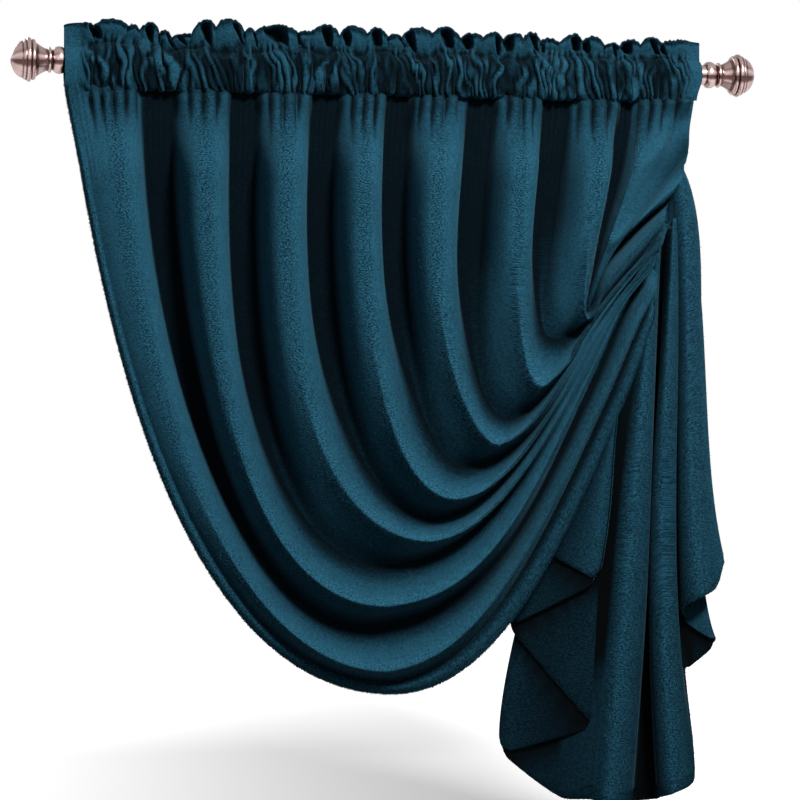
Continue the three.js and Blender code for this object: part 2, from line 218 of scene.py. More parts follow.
def new_piece(name, points, faces):
    """An object at the origin, from points in millimetres and faces that count them."""
    mesh = bpy.data.meshes.new(name)
    mesh.from_pydata((points * MM).tolist(), [], faces)
    mesh.update()
    piece = bpy.data.objects.new(name, mesh)
    bpy.context.scene.collection.objects.link(piece)
    return piece


def quads(index, turned=False):
    """A face for each four neighbours in a table of point numbers."""
    corners = [index[:-1, :-1], index[1:, :-1], index[1:, 1:], index[:-1, 1:]]
    order = (0, 3, 2, 1) if turned else (0, 1, 2, 3)
    return np.stack([corners[i] for i in order], -1).reshape(-1, 4)


def write_values(mesh, **values):
    """One number for each vertex, which a material reads by its name."""
    for key, numbers in values.items():
        layer = mesh.attributes.new(key, "FLOAT", "POINT")
        layer.data.foreach_set("value", np.asarray(numbers).ravel().astype(np.float32))


def finish_cloth(mesh, flat, crest, shade):
    """Writes the flat map, a place in metres for each vertex, and the two numbers."""
    loops = np.zeros(len(mesh.loops), int)
    mesh.loops.foreach_get("vertex_index", loops)
    mesh.uv_layers.new(name="cloth").data.foreach_set("uv", flat[loops].ravel())
    write_values(mesh, crest=crest, shade=shade)
    mesh.polygons.foreach_set("use_smooth", [True] * len(mesh.polygons))


def cloth_mesh(name, front, crest, shade, back_shade):
    """A closed sheet from a table of points (rows, columns, 3) whose front faces -Y."""
    n, m, _ = front.shape
    back = front + CLOTH * unit(np.cross(np.gradient(front, axis=1), np.gradient(front, axis=0)))
    index = np.arange(n * m).reshape(n, m)
    faces = [quads(index), quads(index + n * m, True)]
    for rim, turned in ((index[:, 0], True), (index[:, -1], False), (index[0], False), (index[-1], True)):
        faces.append(quads(np.stack([rim, rim + n * m], 1), turned))
    points = np.concatenate([front.reshape(-1, 3), back.reshape(-1, 3)])
    piece = new_piece(name, points, np.concatenate(faces).tolist())
    across, along = length_run(front, 1), length_run(front, 0)
    flat = np.stack([across, along], -1).reshape(-1, 2) * MM
    finish_cloth(piece.data, np.concatenate([flat, flat]), [crest, crest], [shade, back_shade])
    sides = front[1:, :-1] - front[:-1, :-1], front[:-1, 1:] - front[:-1, :-1]
    area = np.linalg.norm(np.cross(*sides), axis=2).sum() * MM ** 2
    print(f"{name}: {len(piece.data.polygons) * 2} triangles, widest {across.max() * MM:.3f} m, "
          f"longest {along.max() * MM:.3f} m, {area:.3f} square metres of cloth")
    return piece


# %% [markdown]
# ## The swag
# The swag is a wide panel, pleated into eight columns under the sleeve. Each column falls, turns in
# a soft curve and is drawn up to the gather at the right. A ridge line and a valley line alternate;
# the hem is the first line and the side edge the last. A row of the table says where a line starts
# on the sleeve, turns, climbs and ends, seen from the front, and how far it stands out on the way.

# %% Swag fold lines
PANEL_TOP = -30.5
FOLD_LINES = [
    # head x, lean, drop, round, low (x, z, angle), lift, waist (x, z, angle), tip (x, z, angle),
    # depth at the sleeve, leg, low, waist, tip
    ("hem", -408, 46, 330, 258, -6, -776, 0, 138, 281, -422, 66, 331, -290, 72, -14.8, -52, -58, -62, -56),
    ("V0", -399, 42, 322, 246, -6, -762, 0, 110, 266, -414, 65, 328, -276, 62, -14.8, -56, -62, -50, -50),
    ("R1", -350, -5, 275, 215, -20, -746, 0, 118, 257, -405, 64, 337, -261, 45, -15, -67, -86, -78, -72),
    ("V1", -292, -20, 200, 180, -40, -692, 0, 166, 245, -393, 64, 321, -243, 52, -5, -14, -40, -46, -42),
    ("R2", -237, -25, 320, 175, -20, -667, 0, 132, 236, -386, 63, 334, -232, 40, -13, -72, -82, -71, -68),
    ("V2", -186, -25, 400, 120, -15, -620, 0, 116, 233, -380, 62, 336, -228, 40, -5, -14, -40, -72, -67),
    ("R3", -135, -40, 400, 110, 35, -588, 0, 75, 230, -375, 62, 338, -225, 42, -13, -72, -82, -74, -69),
    ("V3", -84, -30, 200, 130, 48, -562, 0, 65, 228, -370, 62, 339, -222, 42, -5, -14, -40, -74, -69),
    ("R4", -35, -35, 200, 100, 66, -537, 0, 60, 225, -366, 61, 340, -218, 54, -13, -72, -82, -75, -72),
    ("V4", 10, -30, 150, 75, 85, -497, 0, 76, 224, -360, 61, 337, -209, 53, -5, -14, -42, -75, -46),
    ("R5", 61, -58, 290, 30, 120, -470, 12, 40, 223, -354, 60, 342, -200, 52, -13, -72, -82, -75, -72),
    ("V5", 116, -40, 300, 50, 146, -437, 12, 40, 222, -347, 60, 343, -197, 51, -5, -14, -42, -60, -70),
    ("R6", 161, -34, 250, 34, 178, -397, 36, 20, 236, -334, 57, 345, -193, 50, -13, -72, -82, -76, -73),
    ("V6", 211, -38, 290, 62, 222, -331, 28, 15, 257, -299, 54, 346, -188, 49, -5, -14, -44, -62, -70),
    ("R7", 264, -36, 230, 22, 236, -313, 42, 10, 257, -270, 56, 344, -174, 46, -13, -72, -84, -82, -76),
    ("V7", 303, -10, 140, 12, 243, -303, 10, 8, 274, -230, 52, 350, -162, 38, -5, -14, -38, -34, -50),
    ("R8", 322, -10, 90, 8, 266, -219, -40, 6, 292, -200, 42, 359, -144, 36, -13, -52, -58, -72, -64),
    ("side", 388, -4, 30, 1, 375, -100, 250, 0, 366, -118, 250, 363, -135, 250, -15, -28, -42, -52, -54),
]
LEG_STEPS, CLIMB_STEPS = 200, 100
LINE_STEPS = LEG_STEPS + 2 * CLIMB_STEPS
OPEN_LENGTH = 110        # run below the sleeve in which a column opens
KEEP_APART = 1.3         # neighbouring lines stay this far apart on the climb
LAST_BUNDLED = 13        # the lines after this one keep their own way
LOOK_AROUND = 25         # samples on either side that give a line's direction
SOFTENINGS = 60


def towards(angle):
    """The direction at an angle in degrees, counted up from the right."""
    return np.array([math.cos(math.radians(angle)), math.sin(math.radians(angle))])


def trace_line(row):
    """The leg down from the sleeve, the climb to the waist and the end at the gather, as one line."""
    _, head, lean, drop, width, lx, lz, la, lift, wx, wz, wa, tx, tz, ta = row[:15]
    low, waist, tip = np.array([lx, lz]), np.array([wx, wz]), np.array([tx, tz])
    rise, reach = 0.36 * np.linalg.norm(waist - low), 0.33 * np.linalg.norm(tip - waist)
    start, knee = [head, PANEL_TOP], [head + lean, PANEL_TOP - drop]
    leg = even_cubic(start, knee, low - width * towards(la), low, LEG_STEPS)
    climb = even_cubic(low, low + lift * towards(la), waist - rise * towards(wa), waist, CLIMB_STEPS)
    end = even_cubic(waist, waist + reach * towards(wa), tip - reach * towards(ta), tip, CLIMB_STEPS)
    return np.concatenate([leg, climb[1:], end[1:]])


lines = np.array([trace_line(row) for row in FOLD_LINES])
for k in range(1, LAST_BUNDLED + 1):
    outer, line = lines[k - 1], lines[k]
    i = np.arange(LEG_STEPS + 1, LINE_STEPS + 1)
    run = unit(outer[np.minimum(i + LOOK_AROUND, LINE_STEPS)] - outer[np.maximum(i - LOOK_AROUND, LEG_STEPS)])
    side = np.stack([-run[:, 1], run[:, 0]], 1)
    apart = ((line[i] - outer[i]) * side).sum(1)
    line[i] += side * np.maximum(0, KEEP_APART - apart)[:, None]
    for _ in range(SOFTENINGS):
        before, here, after = line[LEG_STEPS:-2], line[LEG_STEPS + 1:-1], line[LEG_STEPS + 2:]
        line[LEG_STEPS + 1:-1] = (before + 2 * here + after) / 4
line_runs = length_run(lines, 1)
grid = np.linspace(0, 1, LINE_STEPS + 1)             # share of a line at each of its samples
print("longest fold line:", round(float(line_runs[:, -1].max())), "mm")


# %% [markdown]
# Between a valley and its ridge the cloth is a wall: steep while it falls from the sleeve, a lip
# with a soft slope where it turns, steep again on the climb. So the shape of a wall is a row of
# stations too. Under the sleeve each column is pinched into three or four small pleats.

# %% Walls and pinched pleats
PLACES = [0, 0.22, 0.5, 0.75, 1]            # sleeve, leg, low point, waist and tip of a fold line
WALLS = {
    # how square the wall of a fold is, and the share of it that lies flat in the valley
    "hem side": ([3, 3, 2, 3, 3], [0.33, 0.33, 0, 0.05, 0.3]),
    "far side": ([4.2, 4.2, 1.7, 2.2, 2.2], [0.28, 0.28, 0, 0, 0]),
    "first": ([2, 2, 2, 3.4, 3.4], [0, 0, 0.04, 0.12, 0.1]),
    "deep": ([4.2, 4.2, 1.7, 2.8, 3], [0.28, 0.28, 0.1, 0.42, 0.3]),
}
POOL = [0, 0, 1, 0.4, 0]                    # how far the cloth above a crest slopes back like a lip
FINGERS = [
    # places of the pinched pleats under the sleeve, group by group
    [-371, -357, -341, -326], [-262, -246, -229, -211], [-162, -147, -130, -110], [-58, -43, -29, -14],
    [29, 44, 59, 76], [139, 156, 172, 186], [247, 266, 286], [324, 340, 357, 376],
]
FINGER_DEPTH = 15
ODD_WALLS = {1: "first", 2: "deep", 14: "deep"}


def finger_state(x, run):
    """How far the pinched pleats stand out at x on the sleeve, run mm below it, and the painted shade in the
    gaps between them.
    """
    out, dark = np.zeros_like(run), np.zeros_like(run)
    picker = np.random.default_rng(5)
    for group in FINGERS:
        for place in group:
            reach = picker.uniform(46, 84)
            half = 0.5 * min(abs(place - other) for other in group if other != place)
            across = abs(x - place) / half
            fade = (1 - ease(run / reach)) * (0.2 + 0.8 * ease(run / 16))
            if across < 1:
                out += math.sqrt(1 - across ** 2) * FINGER_DEPTH * fade
                # painted shade in the gaps between the pinched pleats
                dark += 1.7 * across ** 3 * fade
    return out, dark


def line_depth(k, t):
    """How far fold line k stands out at each share t of its length."""
    at_sleeve, leg, low, waist, tip = FOLD_LINES[k][-5:]
    run = np.interp(t, grid, line_runs[k])
    later = station(PLACES, [leg, leg, low, waist, tip], t)
    return at_sleeve + (later - at_sleeve) * ease(run / OPEN_LENGTH)


# %% Half a fold
def hem_fold(a, start, end, along):
    """Depth, crest and shade at a share a of the narrow fold that the hem is."""
    y = start + (end - start) * a ** 2 - 6 * math.sin(math.pi * a)
    # painted shade towards the valley behind the hem, stronger from the low point on
    shade = station(PLACES, [0, 0, 0.5, 1, 1], along) * ease(2.5 * a - 1.5)
    return y, 0.8 * np.ones_like(along), shade + station(PLACES, [0, 0, 0.2, 0.25, 0.1], along)


def half_fold(k, up, valley, ridge, wide, along):
    """Depth, crest and shade at a share up of the way from the valley to the ridge."""
    rising = k % 2 == 1
    wall = WALLS[ODD_WALLS.get(k, "hem side" if rising else "far side")]
    square, recess = (station(PLACES, values, along) for values in wall)
    pool = station(PLACES, POOL, along)
    part = np.clip((up - recess) / (1 - recess), 0, 1)
    soft_foot = (np.sqrt(part ** 2 + 0.0016) - 0.04) / 0.9608
    lift = 1 - (1 - np.minimum(1, soft_foot)) ** square
    if rising:
        lift = lift + (0.8 * part ** 1.8 + 0.2 * part - lift) * 0.9 * pool
    else:
        lip = 0.72 * part ** 1.7 + 0.28 * (1 - (1 - part) ** 3)
        lift = lift + (lip - lift) * pool
    crest = np.exp(-(((1 - up) * wide) / 9) ** 2) * np.minimum(1, wide / 12)
    step = np.minimum(1, abs(ridge - valley) / 14)
    painted_valley_shade = station(PLACES, [1, 1, 0.5, 1, 1] if k != 1 else [0.1, 0.1, 0.6, 1, 0.7], along)
    if k == len(FOLD_LINES) - 2:
        painted_valley_shade = 0.1 * painted_valley_shade                       # nothing hangs over the far side edge
    # painted shade in the valleys, scaled by how deep the fold is; where a fold turns, painted shade on the
    # underside of its lip and in the hollow above it, and a painted highlight on the lip's crest
    shade = painted_valley_shade * np.clip(1 - lift * 2.4, 0, 1) * step
    if rising:
        shade = shade + (0.3 if k < 12 else 0.1) * pool * ease((1 - up) * 8) * step
    else:
        shade = shade + 0.6 * pool * (1 - ease(1.15 * part)) - 0.3 * pool * crest
    return valley + (ridge - valley) * lift, crest, shade


def swag_column(k, a, along):
    """Points, crest and shade at a share a of the way from fold line k to the next one."""
    p, q = (np.stack([np.interp(along, grid, lines[i, :, c]) for c in (0, 1)], 1) for i in (k, k + 1))
    start, end = line_depth(k, along), line_depth(k + 1, along)
    rising = k % 2 == 1
    up = a if rising else 1 - a
    run = np.interp(along, grid, line_runs[k + 1 if rising else k])
    head = FOLD_LINES[k][1] * (1 - a) + FOLD_LINES[k + 1][1] * a
    if k == 0:
        y, crest, shade = hem_fold(a, start, end, along)
    else:
        valley, ridge = (start, end) if rising else (end, start)
        y, crest, shade = half_fold(k, up, valley, ridge, np.linalg.norm(q - p, axis=1), along)
    finger, dark = finger_state(head, run)
    y = y - finger
    y = y + 1.4 * np.sin(head * 0.9) * (1 - ease(run / 160)) * (1 - np.minimum(1, 2 * up))
    # painted shadow of the sleeve over the tops of the columns, with a darker line just under its edge
    painted_sleeve_shadow = 0.3 * (1 - ease(run / 110)) + 0.3 * (1 - ease(run / 14)) * ease((head + 395) / 20)
    points = np.stack([p[:, 0] + (q[:, 0] - p[:, 0]) * a, y, p[:, 1] + (q[:, 1] - p[:, 1]) * a], 1)
    return points, crest, shade + dark + painted_sleeve_shadow


# %% [markdown]
# At the gather the cloth is stitched together. The ends of the folds roll side by side and turn
# back out of sight, and they stay in front of the tail.

# %% Swag
HEM_STEPS, HALF_FOLD_STEPS = 8, 28
ROWS = [
    # from, to and number of rows, as shares of a fold line; closest where it bends
    (0, 0.09, 22), (0.09, 0.38, 16), (0.38, 0.62, 30), (0.62, 0.94, 26), (0.94, 1, 10),
]
TIP_ROLL = 32            # how far the gathered ends turn back
TAIL_FRONT = -41         # the swag's ends stay on this side of it
ROLLED_FOLDS = (3, 8)    # half folds before the rolled ones, and how many are rolled


def gather_ends(points, shades, along):
    """Rolls the ends of the folds at the gather, in place."""
    turned = ease((along - 0.945) / 0.055)[:, None] ** 2
    points[:, :, 1] += TIP_ROLL * turned
    near_end = ease((along - 0.84) / 0.12)[:, None]
    before, count = (HALF_FOLD_STEPS * folds for folds in ROLLED_FOLDS)
    held = slice(HEM_STEPS + before, HEM_STEPS + before + count)
    rolls = abs(np.sin(4 * math.pi * np.linspace(0, 1, count) ** 0.9)) ** 0.6
    points[:, held, 1] -= 10 * near_end * rolls
    points[:, held, 0] += 8 * near_end ** 2 * (rolls - 0.5)
    # painted shade in the creases between the rolls
    shades[:, held] += near_end * (1 - rolls) ** 1.1
    clear_of_tail = np.minimum(points[:, :, 1], TAIL_FRONT)
    points[:, :, 1] += (clear_of_tail - points[:, :, 1]) * turned ** 0.5


def swag_points(along):
    columns = []
    for k in range(len(FOLD_LINES) - 1):
        shares = np.linspace(0, 1, (HALF_FOLD_STEPS if k else HEM_STEPS) + 1)
        columns += [swag_column(k, a, along) for a in shares[(1 if k else 0):]]
    points, crests, shades = (np.stack(parts, 1) for parts in zip(*columns))
    gather_ends(points, shades, along)
    return points, crests, np.clip(shades, -0.25, 1)


along = np.concatenate([np.linspace(a, b, n, endpoint=False) for a, b, n in ROWS] + [[1]])
swag_front, swag_crest, swag_shade = swag_points(along)
# painted shade on the back skin of the swag
painted_shade_behind = 0.5 - 0.4 * np.clip(swag_shade, 0, 1)        # a crest in front is a hollow behind
swag = cloth_mesh("swag_velvet", swag_front, swag_crest, swag_shade, painted_shade_behind)

# %% [markdown]
# ## The tail
# The tail is a panel with a slanted hem, folded back and forth so that its hem steps down on both
# sides. Each line of the table is one pleat edge or column; the sheet zigzags between them. At a
# turned edge the cloth goes round and shows its other side.

# %% Pleat lines
PLEAT_LINES = [
    # x, z and depth at the top, one third down, two thirds down and at the hem; whether the cloth
    # turns round there; how rubbed it is; its painted shade on the side before the line and on the
    # side after it, which is a painted highlight below 0, and the share of that painted shade which is
    # left at the hem
    ("start", 320, -198, -29, 286, -415, -30, 236, -535, -31, 186, -603, -31, 0, 0, 0.8, 0.8, 1),
    ("L0", 326, -198, -26, 288, -415, -27, 278, -528, -27, 261, -643, -27, 1, 0.3, 0.1, 0.7, 1),
    ("L1", 312, -198, -22, 242, -415, -20, 189, -565, -20, 145, -698, -21, 1, 0.2, 0.5, 0.6, 1),
    ("L2", 324, -198, -19, 281, -415, -16, 268, -616, -16, 257, -827, -17, 1, 0.2, 0.45, 0.8, 1),
    ("L3", 314, -198, -15, 245, -415, -12, 168, -666, -12, 137, -858, -13, 1, 0.2, 0.45, 0.6, 1),
    ("low", 322, -198, -13, 285, -440, -9, 227, -692, -9, 214, -915, -12, 0, 0, 0.9, 0.9, 0.5),
    ("A in", 340, -192, -24, 303, -415, -26, 282, -591, -24, 252, -918, -22, 0, 0, 1.3, 1.3, 0.2),
    ("A", 343, -188, -30, 310, -415, -47, 292, -615, -50, 264, -922, -52, 0, 1, 0, 0, 1),
    ("A out", 345, -184, -26, 328, -415, -38, 320, -616, -40, 297, -921, -42, 0, 0, 0.25, 0.25, 1),
    ("gap A", 346, -172, -16, 338, -415, -12, 329, -618, -10, 311, -923, -10, 0, 0, 1, 1, 1),
    ("gap B", 349, -168, -16, 341, -415, -12, 331, -618, -10, 339, -921, -10, 0, 0, 1, 1, 1),
    ("B in", 352, -196, -32, 335, -415, -36, 324, -616, -38, 336, -915, -38, 0, 0, 0.5, 0.5, 1),
    ("B", 355, -186, -38, 341, -415, -48, 336, -616, -50, 351, -909, -52, 0, 1, 0, 0, 1),
    ("B out", 361, -186, -32, 360, -415, -37, 359, -642, -38, 382, -892, -40, 0, 0, 0.25, 0.25, 1),
    ("R3", 355, -160, -12, 359, -415, -14, 359, -618, -13, 375, -761, -13, 1, 0, 1, 1, 1),
    ("R2", 375, -168, -12, 384, -415, -12, 398, -619, -10, 421, -725, -10, 1, 0.4, 0.8, -0.25, 1),
    ("R1", 347, -135, -24, 358, -415, -20, 364, -592, -19, 370, -693, -19, 1, 0, -0.05, 0.6, 1),
    ("C in", 352, -130, -30, 363, -289, -34, 363, -478, -35, 368, -676, -36, 0, 0, 0.55, 0.55, 1),
    ("C", 356, -118, -35, 370, -289, -45, 373, -465, -48, 386, -664, -50, 0, 1, 0, 0, 1),
    ("C side", 360, -116, -33, 386, -289, -36, 392, -466, -37, 411, -652, -38, 0, 0.3, 0.1, 0.1, 1),
    ("outer", 363, -114, -31, 395, -288, -26, 405, -466, -26, 428, -627, -28, 0, 0.2, 0, 0, 1),
]
PLEAT_ROUND = 6
SWELL = {"outer": 8, "C side": 6, "C": 4}    # where the cloth turns over the gathers below the shoulder
HEMS_ABOVE = {
    # the line that a layer starts at, and the two lines whose hem hangs over that layer and paints its shadow
    # on it
    "L0": ("start", "L0"), "L1": ("L0", "L1"), "L2": ("L1", "L2"), "L3": ("L2", "L3"),
    "R3": ("R2", "R1"), "R2": ("C in", "outer"),
}
SHOW_THEIR_BACK = ("L0", "L2", "R3")         # layers that start here are folded over
PLEAT_NAMES = [row[0] for row in PLEAT_LINES]


def pleat_point(row, t):
    """The place on a pleat line at t, on one curve through its four stations."""
    stops = np.array(row[1:13], float).reshape(4, 3)[:, [0, 2, 1]]
    third = t[:, None] * 3
    swell = SWELL.get(row[0], 0) * np.sin(math.pi * np.minimum(1, third) ** 0.6)
    weights = [-(third - 1) * (third - 2) * (third - 3) / 6, third * (third - 2) * (third - 3) / 2,
               -third * (third - 1) * (third - 3) / 2, third * (third - 1) * (third - 2) / 6]
    return sum(w * stop for w, stop in zip(weights, stops)) + swell * np.array([1, 0, 0])


def painted_hem_shadow(layer, x, z):
    """The painted shadow on a layer of the tail just below the hem of the layer in front of it."""
    if layer not in HEMS_ABOVE:
        return 0 * x
    (x0, z0), (x1, z1) = sorted(PLEAT_LINES[PLEAT_NAMES.index(name)][10:12] for name in HEMS_ABOVE[layer])
    hem = z0 + (z1 - z0) * (x - x0) / (x1 - x0)
    return 0.7 * np.exp(-np.maximum(0, hem - z) / 13)


# %% [markdown]
# A turned edge is drawn through three knots close together, so that it stays a small round turn.
# A smooth curve through all the knots of a row is then the cloth at that height.

# %% Tail
def pleat_knots(t):
    """The knots of each row, and for each knot how rubbed it is, its shade and its place in the table."""
    knots, tones = [], []
    for k, row in enumerate(PLEAT_LINES):
        line = pleat_point(row, t)
        turned, rubbed, before, after, kept = row[13:]
        keep = 1 - (1 - kept) * ease((t - 0.78) / 0.12)
        corner = ease((t - 0.955) / 0.045)[:, None]
        if not turned:
            if k == len(PLEAT_LINES) - 1:
                line = line + corner * np.array([-3, 0, 7])
            knots.append(line)
            tones.append((rubbed, after * keep, k))
            continue
        beside = []
        for other in (k - 1, k + 1):
            far = pleat_point(PLEAT_LINES[other], t) - line
            distance = np.maximum(1, np.linalg.norm(far, axis=1, keepdims=True))
            near = line + far * np.minimum(0.4, 2.2 * PLEAT_ROUND / distance)
            near[:, 1] = line[:, 1] + far[:, 1] * 0.45
            beside.append(near)
        line = line + corner * (0.42 * (beside[0] + beside[1] - 2 * line) / 2 + np.array([0, 0, 6]))
        knots += [beside[0], line, beside[1]]
        tones += [(rubbed, before * keep, k - 0.5), (rubbed, (before + after) / 2 * keep, k),
                  (rubbed, after * keep, k + 0.5)]
    return np.stack(knots, 1), tones


def slopes(p0, p1, p2, p3):
    """The slopes at the two middle knots of four, small enough to keep a turn small."""
    d0, d1, d2 = (np.linalg.norm(b - a, axis=1, keepdims=True) for a, b in ((p0, p1), (p1, p2), (p2, p3)))
    return ((p2 - p0) * np.minimum(1, 2 * d1 / (d0 + d1)) * 0.5,
            (p3 - p1) * np.minimum(1, 2 * d1 / (d1 + d2)) * 0.5)


def tail_points(steps, rows):
    """Points, crest and shade of the tail, and which of its columns lie with their back behind."""
    knots, tones = pleat_knots(np.linspace(0, 1, rows + 1))
    padded = np.concatenate([2 * knots[:, :1] - knots[:, 1:2], knots, 2 * knots[:, -1:] - knots[:, -2:-1]], 1)
    columns, crests, shades, behind = [], [], [], []
    for j in range(knots.shape[1] - 1):
        four = [padded[:, j + i] for i in range(4)]
        m1, m2 = slopes(*four)
        (rubbed_1, shade_1, place_1), (rubbed_2, shade_2, place_2) = tones[j], tones[j + 1]
        layer = int((place_1 + place_2) / 2)
        name = PLEAT_NAMES[layer]
        # the painted shade of a gap stays narrow, and the wall of the first column gets a painted highlight
        narrow = 4 if name == "A in" else 1.6 if layer > PLEAT_NAMES.index("B") else 1
        for a in np.linspace(0, 1, steps + 1)[(1 if j else 0):]:
            h1, h2, h3 = 2 * a ** 3 - 3 * a ** 2 + 1, a ** 3 - 2 * a ** 2 + a, a ** 3 - a ** 2
            place = h1 * four[1] + h2 * m1 + (-2 * a ** 3 + 3 * a ** 2) * four[2] + h3 * m2
            mixed = shade_1 * (1 - a) ** narrow + shade_2 * a ** narrow
            if name == "A in":
                mixed = mixed - 0.3 * math.sin(math.pi * a)
            columns.append(place)
            crests.append(rubbed_1 * (1 - a) + rubbed_2 * a)
            shades.append(mixed + painted_hem_shadow(name, place[:, 0], place[:, 2]))
            behind.append(name not in SHOW_THEIR_BACK)
    return np.stack(columns, 1), np.ones((rows + 1, 1)) * np.array(crests), np.stack(shades, 1), behind


tail_front, tail_crest, tail_shade, behind = tail_points(6, 130)
# painted shade over the tail, stronger towards its bottom and none on the crests
below = ease((-tail_front[:, :, 2] - 400) / 400)             # the low cloth lies in the swag's shade
tail_shade = np.clip(tail_shade + (0.12 + 0.22 * below) * (1 - tail_crest), -0.25, 1.15)
# the backs of the layers that face away get a painted shade of 0.3
tail = cloth_mesh("tail_velvet", tail_front, tail_crest, tail_shade, np.where(behind, 0.3, tail_shade))

# %% [markdown]
# ## The heading
# The heading is the tunnel that the rod runs through, with a frill above it. The cloth is wider
# than the rod is long, so it stands in small upright gathers, and the frill curls in open loops. Its
# section is drawn once and carried along the rod, moved at each step by the gathers, which are ribs
# at uneven distances, fine and broad, that lean and bend.

# %% Gathers
SLEEVE_LEFT, SLEEVE_RIGHT = -407, 407
SEAM_TOP = 15
rng = np.random.default_rng(11)


def noise_line(x, scale, seed):
    """A smooth uneven line between -1 and 1."""
    picker = np.random.default_rng(seed)
    levels = picker.uniform(-1, 1, 700)
    u = (np.asarray(x, float) + 600) / scale
    i = np.floor(u).astype(int)
    return levels[i] + (levels[i + 1] - levels[i]) * ease(u - i)


def gathers(pitch_low, pitch_high):
    """Uneven gather places along the rod with a strength for each."""
    places, x = [], SLEEVE_LEFT - 30
    while x < SLEEVE_RIGHT + 30 + pitch_high:
        places.append(x)
        x += rng.uniform(pitch_low, pitch_high)
    return np.array(places), rng.uniform(0.55, 1.0, len(places))


fine_gathers, broad_gathers = gathers(6.5, 11.5), gathers(13, 22)
print("gathers:", len(fine_gathers[0]), "fine and", len(broad_gathers[0]), "broad")


def ribs(set_of_gathers, place):
    """Rounded ribs with creases between them: height, 0 to 1, and place across the rib, -1 to 1."""
    places, strengths = set_of_gathers
    i = np.clip(np.searchsorted(places, place) - 1, 0, len(places) - 2)
    across = 2 * (place - places[i]) / (places[i + 1] - places[i]) - 1
    return strengths[i] * np.clip(1 - across ** 2, 0, 1) ** 0.5, across


def gather_state(x, z):
    """Height of the gathers at x and z, the place across the rib, and how far into a crease it is, which sets
    the painted shade there.
    """
    tilt = 0.32 * noise_line(x, 26, 3) + 0.1
    bend = 2.6 * np.sin(z / 9.0 + 5 * noise_line(x, 40, 4)) + 1.4 * np.sin(z / 4.7 + 6 * noise_line(x, 22, 5))
    fine, across = ribs(fine_gathers, x + tilt * z + bend)
    broad, _ = ribs(broad_gathers, x - 0.45 * tilt * z - 1.3 * bend + 5)
    share = 0.5 + 0.5 * noise_line(x + 0.9 * z, 19, 6)
    height = np.maximum(fine * (0.62 + 0.38 * share), broad * (0.35 + 0.65 * (1 - share)))
    return height, across, np.clip((0.8 - height) / 0.42, 0, 1) ** 1.2


# %% [markdown]
# The frill is a row of petals, each a loop of doubled cloth that leans out over the sleeve. Most
# have a hollow in front, where the loop stands open.

# %% Petals of the frill
PETALS = [
    # middle, width and top edge of each petal of the frill; place and width of its hollow, as shares
    (-387, 34, 46, 0.8, 0.16), (-352, 34, 50, -0.55, 0.2), (-327, 20, 44, 0, 0), (-305, 24, 47, 0.1, 0.3),
    (-281, 20, 38, 0.5, 0.22), (-254, 30, 34, -0.2, 0.12), (-233, 26, 52, 0.1, 0.4),
    (-203, 34, 54, 0.55, 0.16), (-176, 18, 43, 0.6, 0.25), (-143, 46, 49, 0.05, 0.42),
    (-110, 20, 42, -0.5, 0.25), (-86, 30, 50, 0.25, 0.3), (-53, 26, 49, -0.3, 0.25),
    (-24, 32, 48, 0.15, 0.38), (6, 24, 41, 0.6, 0.2), (34, 30, 50, -0.3, 0.25), (64, 32, 51, 0.25, 0.4),
    (97, 30, 44, -0.1, 0.35), (124, 24, 46, 0.55, 0.22), (151, 28, 45, -0.2, 0.35),
    (179, 27, 47, 0.3, 0.3), (203, 20, 40, -0.6, 0.2), (228, 28, 46, 0.3, 0.35),
    (256, 28, 44, -0.35, 0.3), (281, 20, 36, 0.4, 0.2), (306, 30, 41, -0.15, 0.38),
    (336, 28, 44, 0.3, 0.3), (382, 50, 42, -0.8, 0.12),
]


def petal_state(x, h):
    """Top edge, forward swing, hollow and notch of the frill at x and a share h of its height."""
    x = np.asarray(x, float)
    swing, hollow = np.zeros_like(x), np.zeros_like(x)
    top, notch = SEAM_TOP + 11 + 0 * x, 1 + 0 * x
    for middle, width, high, hollow_place, hollow_width in PETALS:
        d = (x - middle) / (0.7 * width)
        inside = np.clip(1 - d ** 2, 0, 1)
        flatness = 0.12 if abs(middle) > 380 else 0.5            # the two ends of the frill stand flat
        here = SEAM_TOP + (high - SEAM_TOP) * (0.25 + 0.75 * inside ** flatness) * (inside > 0)
        better = here > top
        top = np.where(better, here, top)
        swing = np.where(better, inside ** 0.45, swing)
        notch = np.where(better, (1 - inside) ** 3, notch)
        if hollow_width:
            wide = hollow_width * (0.15 + 0.85 * min(1, h / 0.6))
            dip = np.clip(1 - ((d - hollow_place + 0.5 * (h - 0.5)) / wide) ** 2, 0, 1) ** 0.6
            hollow = np.where(better, dip, hollow)
    return top, swing, hollow, notch


# %% Section of the heading
SLEEVE_FRONT = [
    # depth, height, share of the gathers, share of the sag
    (-2, -33, 0, 0.3), (-7, -34.5, 0.3, 0.8), (-12, -34, 0.6, 1), (-15, -31.5, 0.85, 0.9),
    (-16.4, -27, 1, 0.7), (-16.8, -22, 1, 0.4), (-17, -18, 1, 0.2), (-17.4, -14, 1, 0), (-17.6, -10, 1, 0),
    (-17.7, -6, 1, 0), (-17.4, -2, 1, 0), (-16.8, 2, 1, 0), (-15.6, 5.5, 1, 0), (-13.8, 8.8, 1, 0),
    (-11.4, 11.6, 0.9, 0), (-8.6, 13.8, 0.8, 0), (-6.2, 15.6, 0.7, 0),
]
